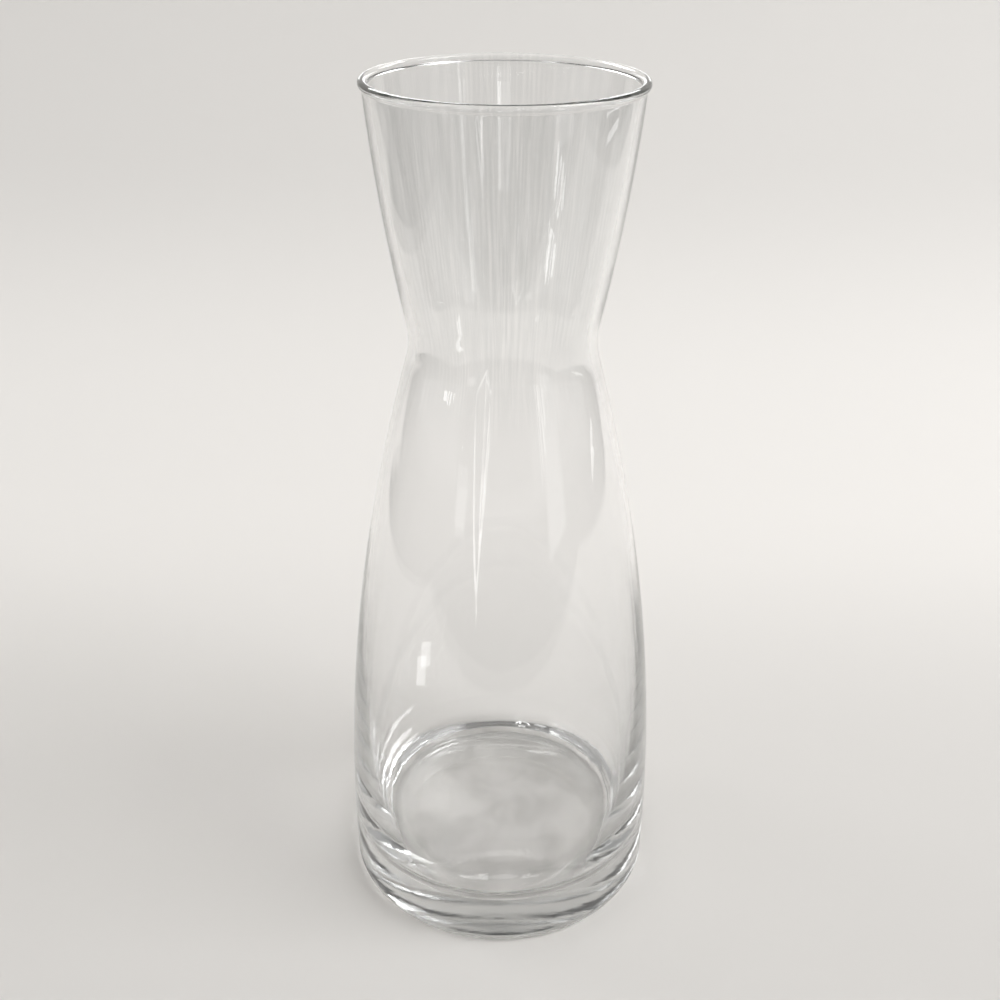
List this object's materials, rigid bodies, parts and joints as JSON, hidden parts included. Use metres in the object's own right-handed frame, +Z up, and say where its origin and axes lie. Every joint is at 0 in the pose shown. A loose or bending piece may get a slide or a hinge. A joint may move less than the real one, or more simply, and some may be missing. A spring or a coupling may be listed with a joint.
{
  "type": "water carafe",
  "caption": "Clear glass water carafe with a straight foot, a long tapering belly, a narrow waist and a flared neck that ends in a rounded lip.",
  "frame": {"origin": "on the carafe's axis, in the plane of the ring that it stands on", "axes": "+Z up along the axis of revolution, from the standing ring to the lip; X and Y are alike, because the vessel is round"},
  "size_m": [0.08, 0.08, 0.208],
  "materials": {
    "clear_glass": "fire-polished, clear and colourless"
  },
  "bodies": {
    "root": {"carafe_glass": "clear_glass"}
  },
  "joints": []
}
